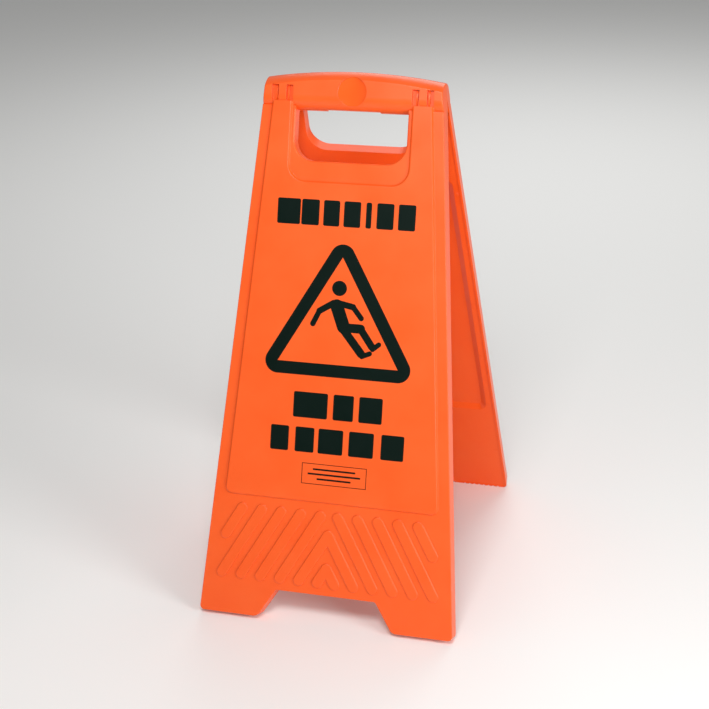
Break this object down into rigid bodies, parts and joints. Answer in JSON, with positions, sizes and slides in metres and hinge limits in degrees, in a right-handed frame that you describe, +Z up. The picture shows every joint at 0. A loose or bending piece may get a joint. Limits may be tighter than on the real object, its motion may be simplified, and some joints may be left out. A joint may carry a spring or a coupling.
{
  "type": "folding floor sign",
  "caption": "Folding A-frame wet floor sign: two moulded panels hinged at a rolled handle bar, with printed warning graphics and a raised chevron grip.",
  "frame": {"origin": "middle of the open sign's footprint, on the floor", "axes": "+Z up, +X to the right along the hinge axis seen from the front, -Y to the front panel's printed face"},
  "size_m": [0.3054, 0.395, 0.6058],
  "materials": {
    "panel_plastic": "orange polypropylene, fine satin texture, polished scoop in the handle bar",
    "print_ink": "very dark green screen ink, satin",
    "pin_plastic": "orange polypropylene, smooth as moulded"
  },
  "bodies": {
    "front_half": {"front_panel": "panel_plastic", "hinge_pin_left": "pin_plastic", "hinge_pin_right": "pin_plastic", "front_heading_blocks": "print_ink", "front_hazard_triangle": "print_ink", "front_slip_figure": "print_ink", "front_message_blocks": "print_ink", "front_maker_panel": "print_ink"},
    "rear_half": {"rear_panel": "panel_plastic", "rear_heading_blocks": "print_ink", "rear_hazard_triangle": "print_ink", "rear_slip_figure": "print_ink", "rear_message_blocks": "print_ink", "rear_maker_panel": "print_ink"}
  },
  "joints": [
    {"name": "fold_hinge", "type": "hinge", "parent": "front_half", "child": "rear_half", "pos_m": [0, 0, 0.57882], "axis": [-1, 0, 0], "range_deg": [0, 35]}
  ]
}
